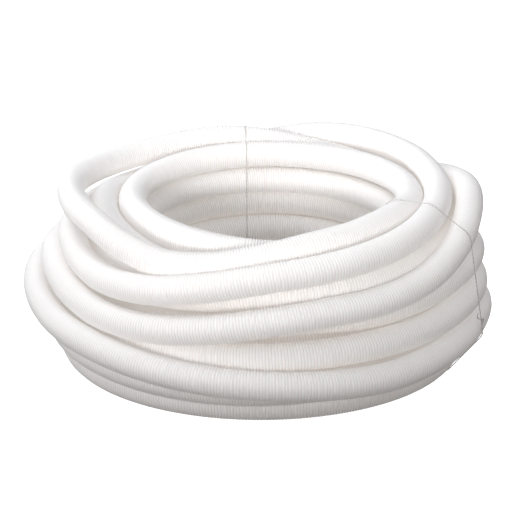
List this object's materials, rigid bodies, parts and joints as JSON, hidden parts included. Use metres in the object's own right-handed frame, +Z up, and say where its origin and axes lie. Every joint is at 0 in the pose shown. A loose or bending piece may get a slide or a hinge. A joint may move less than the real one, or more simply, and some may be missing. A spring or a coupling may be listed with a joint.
{
  "type": "pool vacuum hose, coiled",
  "caption": "Coiled white ribbed pool vacuum hose tied with twine, with a fixed cuff on its inner end and a swivel cuff on its outer end.",
  "frame": {"origin": "middle of the roll's footprint on the floor", "axes": "+Z up through the eye of the roll, -Y towards the camera of the picture, +X along the outer end towards its swivel cuff's mouth"},
  "size_m": [0.7718, 0.8166, 0.3055],
  "materials": {
    "hose": "satin",
    "cuff": "satin",
    "insert": "satin",
    "twine": "matte"
  },
  "bodies": {
    "roll": {"hose_coil": "hose", "hose_outer_end": "hose", "hose_inner_end": "hose", "fixed_cuff": "cuff", "swivel_insert": "insert", "tie_back": "twine", "tie_right": "twine"},
    "collar": {"swivel_collar": "cuff"}
  },
  "joints": [
    {"name": "cuff_swivel", "type": "hinge", "parent": "roll", "child": "collar", "pos_m": [0.22831, 0.37826, 0.03], "axis": [1, 0, 0], "continuous": true}
  ]
}
